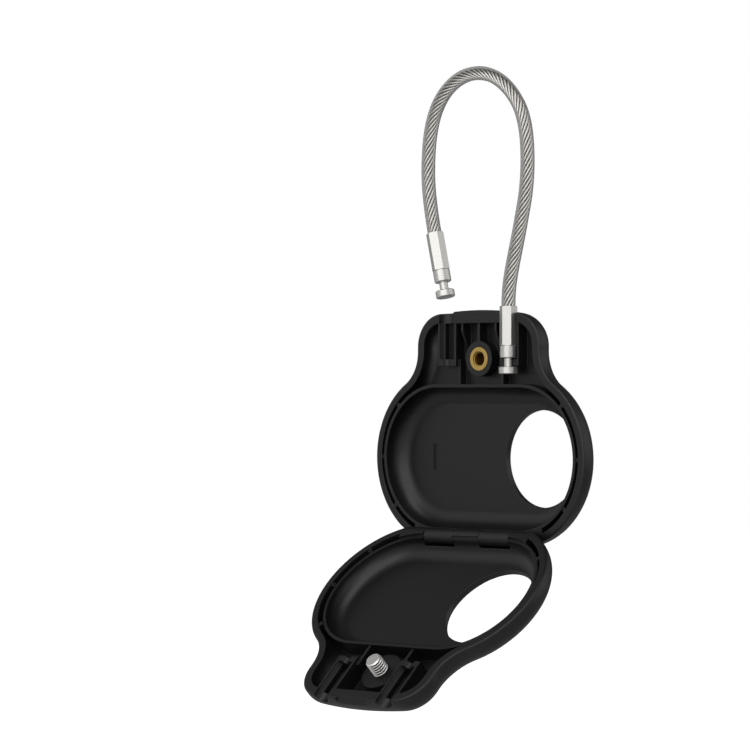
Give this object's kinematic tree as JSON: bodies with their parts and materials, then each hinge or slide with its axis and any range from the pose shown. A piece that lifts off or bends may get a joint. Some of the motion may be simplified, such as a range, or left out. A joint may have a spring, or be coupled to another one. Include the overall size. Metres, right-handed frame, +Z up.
{
  "type": "tracker tag holder",
  "caption": "Hinged clamshell holder for a tracker tag, with a ring hole, a captive clamp screw and a wire cable loop whose end fittings seat in cradles in its neck.",
  "frame": {"origin": "inside of the cable loop's top, where the holder hangs", "axes": "+X along the hinge, +Y towards the rear shell's back, +Z up"},
  "size_m": [0.0591, 0.0427, 0.1316],
  "materials": {
    "shell_plastic": "fine matt black moulding",
    "steel": "ground pin",
    "brass": "machined brass",
    "screw_steel": "bright zinc",
    "nickel": "satin nickel",
    "wire_rope": "stranded steel",
    "clear_jacket": "clear coating"
  },
  "bodies": {
    "cable": {"held_fitting": "nickel", "rope_held": "wire_rope", "jacket_held": "clear_jacket"},
    "cable_end": {"free_fitting": "nickel", "rope_free": "wire_rope", "jacket_free": "clear_jacket"},
    "rear": {"rear_shell": "shell_plastic", "hinge_pin": "steel", "threaded_insert": "brass"},
    "front": {"front_shell": "shell_plastic"},
    "washer": {"screw_washer": "screw_steel"},
    "screw": {"clamp_screw": "screw_steel"}
  },
  "joints": [
    {"name": "cable_swivel", "type": "hinge", "parent": "cable", "child": "rear", "pos_m": [0.00915, 0, -0.05495], "axis": [0, 0, 1], "continuous": true},
    {"name": "cable_flex", "type": "hinge", "parent": "cable", "child": "cable_end", "pos_m": [0, 0, 0.0029], "axis": [0, 1, 0], "range_deg": [0, 40], "stiffness_Nm_per_rad": 0.02},
    {"name": "shell_hinge", "type": "hinge", "parent": "rear", "child": "front", "pos_m": [0.00025, -0.0019, -0.09495], "axis": [-1, 0, 0], "range_deg": [0, 134]},
    {"name": "screw_travel", "type": "slide", "parent": "front", "child": "washer", "axis": [0, -0.6947, 0.7193], "range_m": [0, 0.003]},
    {"name": "screw_turn", "type": "hinge", "parent": "washer", "child": "screw", "pos_m": [0.00025, -0.02989, -0.11933], "axis": [0, -0.6947, 0.7193], "continuous": true}
  ]
}
